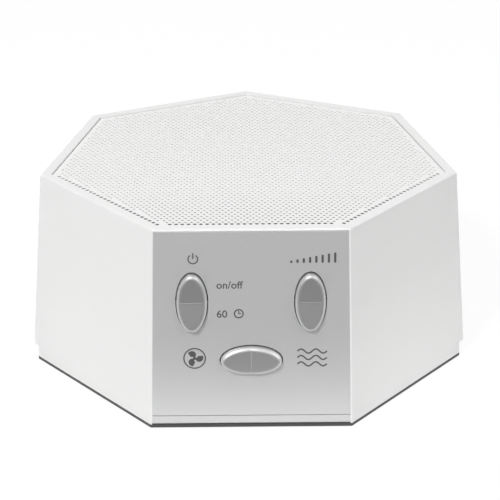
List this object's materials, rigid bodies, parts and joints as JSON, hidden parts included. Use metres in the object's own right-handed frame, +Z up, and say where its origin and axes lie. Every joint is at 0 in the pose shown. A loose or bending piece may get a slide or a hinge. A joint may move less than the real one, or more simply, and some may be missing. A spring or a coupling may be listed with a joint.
{
  "type": "sound machine",
  "caption": "Heptagonal tabletop sound machine: flared housing, perforated metal top over an upward-facing speaker, leaning front panel with oval rocker buttons, sockets at the rear.",
  "frame": {"origin": "where the heptagon's axis meets the table: centre of the rubber mat's underside", "axes": "+Z up along the body's axis, the front panel faces -Y, +X to the right seen from the front"},
  "size_m": [0.1138, 0.1113, 0.052],
  "materials": {
    "white_shell": "satin white moulding",
    "white_grille": "satin white paint",
    "grille_cloth": "thin light grey cloth",
    "silver_panel": "satin silver grey",
    "grey_rocker": "satin mid grey",
    "steel": "bright steel",
    "silicone": "translucent grey silicone",
    "white_inner": "plain white moulding",
    "green_board": "green solder mask",
    "black_chip": "matt black",
    "cream_header": "cream nylon",
    "grey_ribbon": "grey vinyl",
    "red_lead": "red vinyl",
    "black_lead": "black vinyl",
    "foam": "black foam",
    "black_metal": "black powder coat",
    "zinc_plate": "zinc plated",
    "ferrite": "dark grey ferrite",
    "paper_cone": "black pressed paper",
    "former": "brown kraft former",
    "copper": "enamelled copper wire",
    "surround_rubber": "black rubber",
    "spider_cloth": "tan treated cloth",
    "brown_strip": "brown phenolic",
    "brass_lug": "tinned brass",
    "charcoal_pan": "fine textured charcoal",
    "mat_rubber": "matt black rubber",
    "metal_can": "bright can",
    "capacitor_sleeve": "dark blue sleeve",
    "socket_black": "black socket body"
  },
  "bodies": {
    "case": {"amplifier_chip": "black_chip", "audio_socket": "socket_black", "base_mat": "mat_rubber", "base_pan": "charcoal_pan", "button_board": "green_board", "button_board_screws": "steel", "capacitors": "capacitor_sleeve", "case_screws": "steel", "ceramic_parts": "brown_strip", "control_panel": "silver_panel", "crystal": "metal_can", "decoder_chip": "black_chip", "grille": "white_grille", "grille_cloth": "grille_cloth", "housing": "white_shell", "inductor": "black_chip", "magnet": "ferrite", "main_board": "green_board", "main_board_screws": "steel", "main_ribbon_header": "cream_header", "memory_chip": "black_chip", "power_keypad": "silicone", "power_pivot_pin": "steel", "power_socket": "socket_black", "power_socket_pin": "steel", "regulator": "black_chip", "ribbon_cable": "grey_ribbon", "ribbon_header": "cream_header", "rocker_carrier": "white_inner", "sound_chip": "black_chip", "sound_keypad": "silicone", "sound_pivot_pin": "steel", "speaker_basket": "black_metal", "speaker_gasket": "foam", "speaker_lead_black": "black_lead", "speaker_lead_red": "red_lead", "speaker_plug": "cream_header", "speaker_screws": "steel", "spider": "spider_cloth", "surround": "surround_rubber", "terminal_lugs": "brass_lug", "terminal_strip": "brown_strip", "top_plate": "zinc_plate", "volume_keypad": "silicone", "volume_pivot_pin": "steel", "yoke": "zinc_plate"},
    "power_button": {"power_rocker": "grey_rocker"},
    "volume_button": {"volume_rocker": "grey_rocker"},
    "sound_button": {"sound_rocker": "grey_rocker"},
    "cone_assembly": {"cone": "paper_cone", "dust_cap": "paper_cone", "coil_former": "former", "voice_coil": "copper"}
  },
  "joints": [
    {"name": "power_rocker_tilt", "type": "hinge", "parent": "case", "child": "power_button", "pos_m": [-0.0143, -0.04681, 0.03332], "axis": [1, 0, 0], "range_deg": [-3.5, 3.5], "stiffness_Nm_per_rad": 0.12, "deforming": ["power_keypad"]},
    {"name": "volume_rocker_tilt", "type": "hinge", "parent": "case", "child": "volume_button", "pos_m": [0.0143, -0.04681, 0.03332], "axis": [1, 0, 0], "range_deg": [-3.5, 3.5], "stiffness_Nm_per_rad": 0.12, "deforming": ["volume_keypad"]},
    {"name": "sound_rocker_tilt", "type": "hinge", "parent": "case", "child": "sound_button", "pos_m": [0, -0.04755, 0.01812], "axis": [0, 0.0487, 0.9988], "range_deg": [-3.5, 3.5], "stiffness_Nm_per_rad": 0.12, "deforming": ["sound_keypad"]},
    {"name": "cone_travel", "type": "slide", "parent": "case", "child": "cone_assembly", "axis": [0, 0, 1], "range_m": [-0.001, 0.001], "stiffness_N_per_m": 1500, "deforming": ["surround", "spider"]}
  ]
}
